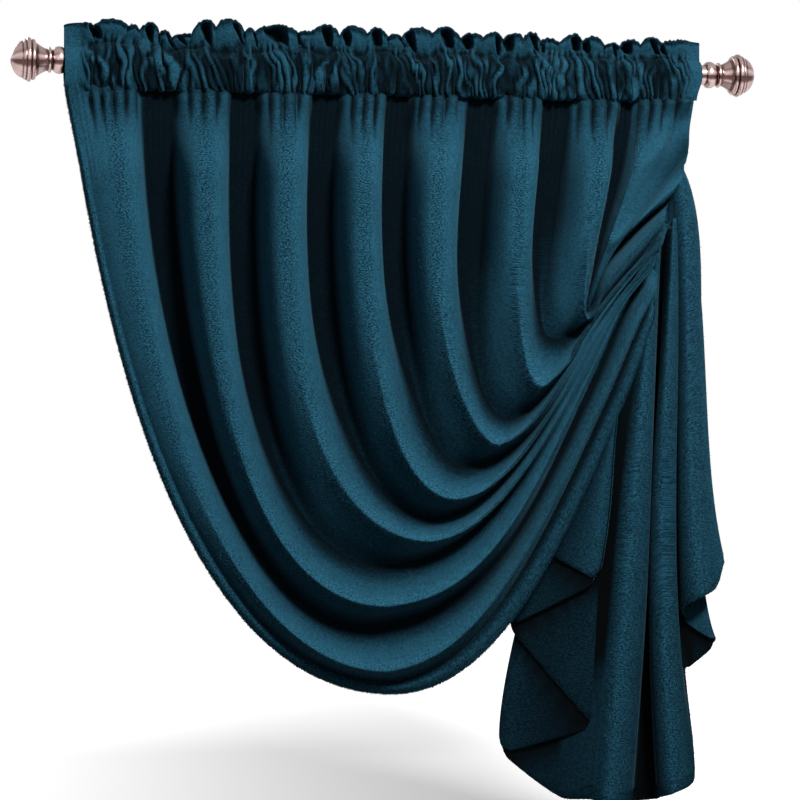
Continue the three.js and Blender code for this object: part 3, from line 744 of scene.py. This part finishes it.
# a share of the frill's height, and half the thickness of the doubled cloth there
FRILL_FRONT = [(0.05, 3.2), (0.13, 3.0), (0.21, 2.8), (0.3, 2.7), (0.4, 2.6), (0.5, 2.6), (0.6, 2.6),
               (0.7, 2.6), (0.8, 2.6), (0.88, 2.5), (0.94, 2.0), (0.98, 1.2), (1, 0)]
FRILL_BACK = [(0.98, 1.2), (0.94, 2.0), (0.86, 2.6), (0.7, 2.6), (0.5, 2.6), (0.3, 2.8), (0.13, 3.0)]
# depth and height
SLEEVE_BACK = [(7, 15), (12, 11), (15.5, 4), (16.5, -5), (14, -16), (9, -25), (4, -30.5)]
TUNNEL = [(0, -28), (-5.5, -24), (-11.4, -12), (-12.9, 1), (-8.6, 10.2), (0, 13.4), (9, 10.2), (13.4, 1),
          (12.2, -10), (6.5, -23)]
GATHER_DEPTH = 16


def sleeve_front_point(x, free, waver, stop):
    y, z, share, sag = stop
    height, across, crease = gather_state(x, z)
    flat_y = np.minimum(y, -14.5) if z < -20 else y
    y = flat_y + (y - flat_y) * free
    # painted shade in the creases between the gathers, and on the shelf where the sleeve meets the frill
    shade = 0.05 + 0.2 * free * ease((z - 9) / 5) + 1.5 * free * share * crease
    return (x + free * share * 1.5 * across * height, y - free * share * (GATHER_DEPTH * height - 4),
            z - free * sag * (11 * height - 4) + waver * ease((z - 2) / 10), 0.35 * height, shade)


def frill_point(x, free, waver, h, half, side):
    """Side is -1 in front and 1 behind."""
    top, swing, hollow, notch = petal_state(x, h)
    seam, crown = SEAM_TOP + waver, top + free * 1.3 * noise_line(x, 2.4, 7)
    height, across, crease = gather_state(x, SEAM_TOP + 14 * h)
    grow, base, rolled = ease(1.5 * h), 1 - ease(h / 0.45), ease((h - 0.78) / 0.2)
    inward = hollow * ease((h - 0.2) / 0.22) * (1 - 0.9 * rolled)
    y = side * half - free * grow * (14 * swing - 4) + free * 15 * inward
    y = y - (side < 0) * free * base * (GATHER_DEPTH * 0.9 * height - 3) - free * 4.5 * rolled * swing
    # painted shade in the open hollows, in the notches between the petals and in the creases at the foot
    dark = np.clip(0.85 * inward + 0.9 * notch * (1 - 0.5 * h) + base * (0.15 + 1.3 * crease), 0, 1)
    moved = x + free * grow * 2.6 * noise_line(x + 40 * h, 15, 8) + 5 * free * h * noise_line(x, 33, 12)
    shade = 0.1 * (1 - rolled) + free * dark * (1 if side < 0 else 0.6)
    return moved, y, seam + (crown - seam) * h, 0.3 + 0.7 * rolled, shade


def heading_rings(x):
    """The section at each x: outer and inner points, each (x, y, z, crest, painted shade)."""
    free = ease((SLEEVE_RIGHT - 8 - np.abs(x)) / 26) * ease((x - SLEEVE_LEFT - 8) / 26)
    waver = free * 6 * noise_line(x, 11, 9)                     # the seam below the frill is uneven
    outer = [sleeve_front_point(x, free, waver, stop) for stop in SLEEVE_FRONT]
    outer += [frill_point(x, free, waver, h, half, -1) for h, half in FRILL_FRONT]
    outer += [frill_point(x, free, waver, h, half, 1) for h, half in FRILL_BACK]
    for y, z in SLEEVE_BACK:
        height, _, crease = gather_state(x, z)
        # painted shade in the creases at the back
        outer.append((x, y + free * 3 * height, z, 0, 0.5 * free * crease))
    # full painted shade inside the tunnel
    inner = [(x, y, z, 0, 1) for y, z in TUNNEL]
    return (np.stack([np.stack(np.broadcast_arrays(*p), -1) for p in ring], 1) for ring in (outer, inner))


# %% Heading
MAP_FULLNESS = 1.9       # cloth in the flat map for each length of rod, as the ribs take it up


def close_ends(mesh, bases, ring):
    """Fills the two open ends between the outer and the inner outline."""
    shape = bmesh.new()
    shape.from_mesh(mesh)
    shape.verts.ensure_lookup_table()
    for base in bases:
        ends = shape.verts[base:base + ring]
        edges = [e for e in shape.edges if e.is_boundary and e.verts[0] in ends and e.verts[1] in ends]
        bmesh.ops.triangle_fill(shape, edges=edges, use_beauty=True)
    bmesh.ops.recalc_face_normals(shape, faces=shape.faces)
    shape.to_mesh(mesh)
    shape.free()


def add_heading(steps):
    x = np.linspace(SLEEVE_LEFT, SLEEVE_RIGHT, steps + 1)
    outer, inner = heading_rings(x)
    for part in (outer, inner):                         # the right end narrows towards the swag
        drawn_in = 7.5 + 7 * ease((-3 - part[:, :, 2]) / 30)
        part[:, :, 0] -= ease((part[:, :, 0] - 340) / (SLEEVE_RIGHT - 340)) * drawn_in
    table = np.concatenate([outer, inner], 1)
    size, ring = outer.shape[1], table.shape[1]
    first = ring * np.arange(steps + 1)[:, None]
    outer_index = first + np.arange(size + 1) % size             # closed: the first point comes again
    inner_index = first + size + np.arange(ring - size + 1) % (ring - size)
    faces = np.concatenate([quads(outer_index), quads(inner_index, True)])
    x_y_z, crest, shade = np.split(table.reshape(-1, 5), (3, 4), axis=1)
    piece = new_piece("heading_velvet", x_y_z, faces.tolist())
    close_ends(piece.data, (0, steps * ring), ring)
    flat = np.zeros((steps + 1, ring, 2))
    flat[:, :, 0] = MAP_FULLNESS * x[:, None] * MM
    flat[:, :size, 1] = length_run(outer[:, :, 1:3], 1) * MM
    finish_cloth(piece.data, flat.reshape(-1, 2), np.clip(crest, 0, 1), np.clip(shade, 0, 1))
    print("heading:", len(piece.data.polygons), "faces")
    return piece, outer


heading, heading_front = add_heading(1400)


# %% [markdown]
# ## Velvet
# Velvet is a dense short pile. It takes light softly and turns brighter where it is seen from the
# side, which is the shader's sheen. The pile lies unevenly, so the tone is mottled in clumps and
# patches, with short strokes across the fold. "crest" makes the pile rougher and a little darker.
# "shade" is painted shade: it darkens the colour in the hollows, and below 0 it paints a highlight.

# %% Node helpers
def feed(tree, node, inputs):
    """Puts a value or a link on inputs of a node, which are named, or counted from 0."""
    for key, value in inputs.items():
        if isinstance(value, bpy.types.NodeSocket):
            tree.links.new(value, node.inputs[key])
        else:
            node.inputs[key].default_value = value
    return node


def add_node(tree, kind, inputs):
    return feed(tree, tree.nodes.new("ShaderNode" + kind), inputs)


def maths(tree, kind, a, b, clamp=False):
    node = tree.nodes.new("ShaderNodeMath")
    node.operation = kind
    node.use_clamp = clamp
    return feed(tree, node, {0: a, 1: b}).outputs[0]


def vector_maths(tree, kind, inputs):
    node = tree.nodes.new("ShaderNodeVectorMath")
    node.operation = kind
    return feed(tree, node, inputs).outputs["Vector"]


def blend(tree, share, dark, light):
    """A colour between two, dark where the share is 0."""
    node = tree.nodes.new("ShaderNodeMix")
    node.data_type = "RGBA"
    return feed(tree, node, {"Factor": share, "A": (*dark, 1), "B": (*light, 1)}).outputs["Result"]


def written(tree, key):
    """The number that write_values gave each vertex."""
    node = tree.nodes.new("ShaderNodeAttribute")
    node.attribute_name = key
    return node.outputs["Fac"]


def new_material(name, finish):
    material = bpy.data.materials.new(name)
    material.use_nodes = True
    tree = material.node_tree
    return material, tree, feed(tree, tree.nodes["Principled BSDF"], finish)


# %% Velvet material
VELVET_DARK = (0.003, 0.024, 0.042)
VELVET_LIGHT = (0.025, 0.125, 0.195)
VELVET_SHADER = {
    "Roughness": 0.95, "Specular IOR Level": 0.06,
    "Sheen Weight": 0.12, "Sheen Roughness": 0.45, "Sheen Tint": (0.25, 0.6, 0.8, 1),
}
STROKES = (0.6, 1.0, 1.0)        # stretches the pile's noise across the fold


def velvet():
    material, tree, shader = new_material("velvet", VELVET_SHADER)
    place = tree.nodes.new("ShaderNodeTexCoord")
    strokes = add_node(tree, "Mapping", {"Vector": place.outputs["UV"], "Scale": STROKES})

    def noise(scale, detail, where=place.outputs["Object"]):
        inputs = {"Scale": scale, "Detail": detail, "Roughness": 0.6, "Vector": where}
        return add_node(tree, "TexNoise", inputs).outputs["Fac"]

    def times(a, b):
        return maths(tree, "MULTIPLY", a, b)

    def plus(a, b):
        return maths(tree, "ADD", a, b)

    def minus(a, b, clamp=False):
        return maths(tree, "SUBTRACT", a, b, clamp)

    clumps, patches, pile = noise(230, 2), noise(30, 3), noise(620, 1, strokes.outputs["Vector"])
    crest, shade = written(tree, "crest"), written(tree, "shade")
    rough_pile = plus(times(crest, 1.5), 0.55)
    tone = times(minus(pile, 0.5), times(rough_pile, 2.2))
    tone = plus(tone, times(minus(clumps, 0.5), 0.7))
    tone = plus(tone, times(minus(patches, 0.5), 0.35))
    tone = plus(tone, 0.62)
    tone = minus(tone, times(crest, 0.12))
    tone = plus(tone, times(written(tree, "tuft"), 0.3))
    # painted shade: "shade" darkens the tone and then scales the colour down; below 0 it paints a highlight
    tone = minus(tone, times(shade, 0.6), True)
    colour = blend(tree, tone, VELVET_DARK, VELVET_LIGHT)
    painted_lighting = minus(1.0, times(shade, 0.86))
    height = plus(times(pile, rough_pile), times(clumps, 0.5))
    bump = add_node(tree, "Bump", {"Strength": 0.6, "Distance": 0.0012, "Height": height})
    feed(tree, shader, {
        "Base Color": vector_maths(tree, "SCALE", {0: colour, "Scale": painted_lighting}),
        "Normal": bump.outputs["Normal"],
    })
    return material


velvet_finish = velvet()

# %% [markdown]
# ## Metal
# The rod and the finials are plated steel with a brushed, slightly rosy nickel finish. Light and
# dark streaks that run along the turned shape are painted reflections in its colour, so they depend
# only on the direction round the rod. The grooves between the rings get painted shade; each vertex is
# told how far it lies below its neighbours along the profile.

# %% Metal material
# the two ends of the painted reflections in the metal's colour
NICKEL_DARK = (0.1, 0.055, 0.05)
NICKEL_LIGHT = (0.68, 0.5, 0.48)
# for the painted shade in the grooves
GROOVE_REACH = (-2.4, -1.2, 1.2, 2.4)     # where a vertex looks for its neighbours
GROOVE_DEPTH = 0.9                        # below them by so much, a groove is fully dark


def rosy_nickel():
    material, tree, shader = new_material("rosy_nickel", {"Metallic": 1.0, "Roughness": 0.3})
    place = tree.nodes.new("ShaderNodeTexCoord")
    from_axis = vector_maths(tree, "MULTIPLY", {0: place.outputs["Object"], 1: (0, 1, 1)})
    direction = vector_maths(tree, "NORMALIZE", {0: from_axis})
    # painted reflections: light and dark streaks round the axis
    streaks = add_node(tree, "TexNoise", {"Scale": 1.7, "Detail": 3, "Vector": direction})
    stretched = {"Value": streaks.outputs["Fac"], "From Min": 0.36, "From Max": 0.64}
    level = add_node(tree, "MapRange", stretched).outputs["Result"]
    # painted shade in the grooves
    share = maths(tree, "SUBTRACT", level, written(tree, "groove"), True)
    feed(tree, shader, {"Base Color": blend(tree, share, NICKEL_DARK, NICKEL_LIGHT)})
    return material


metal = rosy_nickel()
places, radii = np.array(FINIAL_PROFILE[2:]).T
for piece in (rod, finial_left, finial_right):
    depth = np.zeros(len(piece.data.vertices))
    if piece is not rod:
        x = abs(np.array([v.co.x for v in piece.data.vertices])) / MM
        nearby = sum(np.interp(x + step, places, radii) for step in GROOVE_REACH) / len(GROOVE_REACH)
        # how far a vertex lies below its neighbours, for the painted shade in the grooves
        depth = np.clip((nearby - np.interp(x, places, radii)) / GROOVE_DEPTH, 0, 1)
    write_values(piece.data, groove=depth)
    piece.data.materials.clear()
    piece.data.materials.append(metal)

# %% [markdown]
# ## Standing pile
# A pile only shows as pile where it is rubbed up or seen against the light: on the crests, along the
# hems and on the rim of the frill. There every tuft is a small pointed pyramid set into the cloth.
# The places are drawn at random, more of them where the cloth is rubbed, and all the tufts of a
# piece are joined in one mesh.

# %% Pile
TUFT_WIDTH = 0.26        # radius of a tuft's foot as a share of its length
TUFT_ROOT = 0.4          # how deep a tuft is set into the cloth
THIRD_TURN = 2.094       # in radians


def add_pile(name, table, density, tones, count, length, seed, lie=(0, 0, -1)):
    """count tufts on a table of points, drawn where density is high; tones are crest and shade."""
    draw = np.random.default_rng(seed)
    du, dv = np.gradient(table, axis=1), np.gradient(table, axis=0)
    normal = np.cross(dv, du)
    weight = (density * np.linalg.norm(normal, axis=2))[:-1, :-1].ravel()
    cell = draw.choice(len(weight), count, p=weight / weight.sum())
    row, column = np.divmod(cell, table.shape[1] - 1)
    a, b = draw.random((2, count, 1))

    def at(field):
        field = field.reshape(*field.shape[:2], -1)
        low = field[row, column] * (1 - a) + field[row, column + 1] * a
        high = field[row + 1, column] * (1 - a) + field[row + 1, column + 1] * a
        return low * (1 - b) + high * b

    foot, up, along_cloth = at(table), unit(at(normal)), unit(at(du))
    cross_cloth = np.cross(up, along_cloth)
    tall = length * draw.uniform(0.6, 1.3, (count, 1))
    tip = foot + up * tall * 0.8 + np.array(lie) * tall * 0.45 + draw.normal(0, 0.3, (count, 3)) * tall
    corners = []
    for turn in range(3):
        angle = draw.uniform(0, 0.6, (count, 1)) + turn * THIRD_TURN
        outwards = np.cos(angle) * along_cloth + np.sin(angle) * cross_cloth
        corners.append(foot - up * TUFT_ROOT + TUFT_WIDTH * length * outwards)
    base = 4 * np.arange(count)[:, None]
    faces = np.concatenate([base + np.array(f) for f in ((0, 1, 3), (1, 2, 3), (2, 0, 3))])
    piece = new_piece(name, np.stack([*corners, tip], 1).reshape(-1, 3), faces.tolist())
    crest, shade = (np.repeat(at(values)[:, 0], 4) for values in tones)
    write_values(piece.data, crest=crest, shade=shade, tuft=np.repeat(draw.uniform(-1, 1, count), 4))
    flat = piece.data.uv_layers.new(name="cloth")        # any place will do, as a tuft is one stroke
    flat.data.foreach_set("uv", np.repeat(draw.random((count, 2)), 9, axis=0).ravel())
    piece.data.materials.append(velvet_finish)
    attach(piece, "root")
    print(f"{name}: {len(faces)} triangles")
    return piece


density = swag_crest * np.clip(1 - swag_shade, 0, 1) + 0.06
density[:, :7] = 1.6                                     # the hem's fold
density[:, 0] = 12                                       # and its edge
swag_pile = add_pile("swag_pile", swag_front, density, (swag_crest, swag_shade), 62000, 1.7, 21)
density = tail_crest * np.clip(1 - tail_shade, 0, 1) + 0.05
density[-3:] = 2.5                                       # the hem
tail_pile = add_pile("tail_pile", tail_front, density, (tail_crest, tail_shade), 34000, 1.8, 22)
rim = heading_front[:, ::-1]
density = 0.03 + 3 * rim[:, :, 3] ** 6
heading_pile = add_pile("heading_pile", rim[:, :, :3], density, (rim[:, :, 3], rim[:, :, 4]), 42000, 2.1, 23,
                        lie=(0, 0, 0.4))

# %% [markdown]
# ## The cloth in the frame
# Each cloth takes the place of its CAD node and rides on the one body of the part, as the tufts do.

# %% Cloth pieces into the frame
for piece, node, slot in ((swag, "swag_panel", "velvet"), (tail, "tail_panel", "velvet_shade"),
                          (heading, "heading", "velvet")):
    piece.data.materials.append(velvet_finish)
    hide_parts(node)
    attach(piece, "root")

# %% [markdown]
# ## Camera
# The curtain is seen from a little left of straight on, level with the middle of the swag, through
# a long lens.

# %% Camera
eye = bpy.data.cameras.new("camera")
eye.lens = 126
eye.sensor_width = 36
eye.clip_start = 0.1
eye.clip_end = 100
camera = bpy.data.objects.new("camera", eye)
bpy.context.scene.collection.objects.link(camera)
camera.location = (-0.6568, -3.4357, -0.415)
camera.rotation_euler = (math.radians(90), 0, math.radians(-11))
bpy.context.scene.camera = camera

# %% [markdown]
# ## Room
# The room looks white, but it must not light the cloth from all sides, or the valleys would not stay
# deep. So the world and the floor are bright only for rays from the eye and for reflections, and
# dark for the light that they throw. The floor is a plain surface that takes the shadow, with a white
# glow added to it. The glow is weaker in a soft patch below the curtain, which is a painted shadow.

# %% White world
def is_seen(tree):
    """1 for rays from the eye, a mirror or glass, else 0."""
    path = tree.nodes.new("ShaderNodeLightPath").outputs
    reflected = maths(tree, "MAXIMUM", path["Is Glossy Ray"], path["Is Transmission Ray"])
    return maths(tree, "MAXIMUM", path["Is Camera Ray"], reflected)


world = bpy.data.worlds.new("room")
bpy.context.scene.world = world
world.use_nodes = True
tree = world.node_tree
level = add_node(tree, "MapRange", {"Value": is_seen(tree), "To Min": 0.03, "To Max": 1.0})
feed(tree, tree.nodes["Background"], {"Color": (1, 1, 1, 1), "Strength": level.outputs["Result"]})

# %% Floor
FLOOR_HEIGHT = -1.0
FLOOR_GREY = 0.85
BOUNCE_GREY = 0.12       # for all other rays, so that it throws little light on the cloth
PAINTED_SHADOW_PATCH = [
    # the painted shadow, a soft darker patch of the glow: an axis, where a change starts and ends in metres,
    # value before and after
    ("X", -0.8, 0.35, 0, 1), ("X", 0.3, 0.62, 1, 0), ("Y", 1.2, 3.0, 0.6, 0),
]
clear_selection()
bpy.ops.mesh.primitive_plane_add(size=40, location=(0, 0, FLOOR_HEIGHT))
floor = bpy.context.object
floor.name = "floor"
plain = {"Base Color": (*[FLOOR_GREY] * 3, 1), "Roughness": 1, "Specular IOR Level": 0}
paper, tree, base = new_material("paper", plain)
place = tree.nodes.new("ShaderNodeTexCoord")
parts = add_node(tree, "SeparateXYZ", {"Vector": place.outputs["Object"]})


def fade(axis, start, end, first, last):
    """A value that goes smoothly from first to last between two places on the floor."""
    node = tree.nodes.new("ShaderNodeMapRange")
    node.interpolation_type = "SMOOTHSTEP"
    between = {"From Min": start, "From Max": end, "To Min": first, "To Max": last}
    return feed(tree, node, {"Value": parts.outputs[axis], **between}).outputs["Result"]


left, right, far = (fade(*row) for row in PAINTED_SHADOW_PATCH)
# the painted shadow takes the white glow down
painted_shadow = maths(tree, "MULTIPLY", maths(tree, "MULTIPLY", left, right), far)
white = maths(tree, "SUBTRACT", 1.0, painted_shadow)
glow = add_node(tree, "Emission", {"Color": (1, 1, 1, 1), "Strength": white})
both = add_node(tree, "AddShader", {0: base.outputs[0], 1: glow.outputs[0]})
dim_grey = (*[BOUNCE_GREY] * 3, 1)
dim = add_node(tree, "BsdfDiffuse", {"Color": dim_grey})
choose = add_node(tree, "MixShader", {0: is_seen(tree), 1: dim.outputs[0], 2: both.outputs[0]})
feed(tree, tree.nodes["Material Output"], {"Surface": choose.outputs[0]})
floor.data.materials.append(paper)

# %% [markdown]
# ## Lamps
# The key lamp is small and hangs high at the front right, so each column has a bright side and falls
# off into a dark valley. A weak broad lamp at the front left keeps the shaded sides from going black,
# and a third one behind the curtain lights its back.

# %% Lamps
LAMPS = [
    # name, place, the point it shines at, size in metres and power in watts
    ("key", (0.7, -2.05, 1.5), (0, 0, -0.35), 0.55, 92),
    ("fill", (-1.6, -3.6, 0.4), (0, 0, -0.4), 1.2, 8),
    ("back", (-1.4, 3.0, 1.0), (0, 0, -0.4), 1.2, 30),
]
for name, place, aim, size, power in LAMPS:
    lamp = bpy.data.lights.new(name, "AREA")
    lamp.shape = "DISK"
    lamp.size = size
    lamp.energy = power
    item = bpy.data.objects.new(name, lamp)
    bpy.context.scene.collection.objects.link(item)
    item.location = place
    item.rotation_euler = (Vector(aim) - Vector(place)).to_track_quat("-Z", "Y").to_euler()
print("lamps:", [row[0] for row in LAMPS])

# %% [markdown]
# ## Finish
# Standard shows the colours as they are written.

# %% Finish
bpy.context.scene.view_settings.view_transform = "Standard"
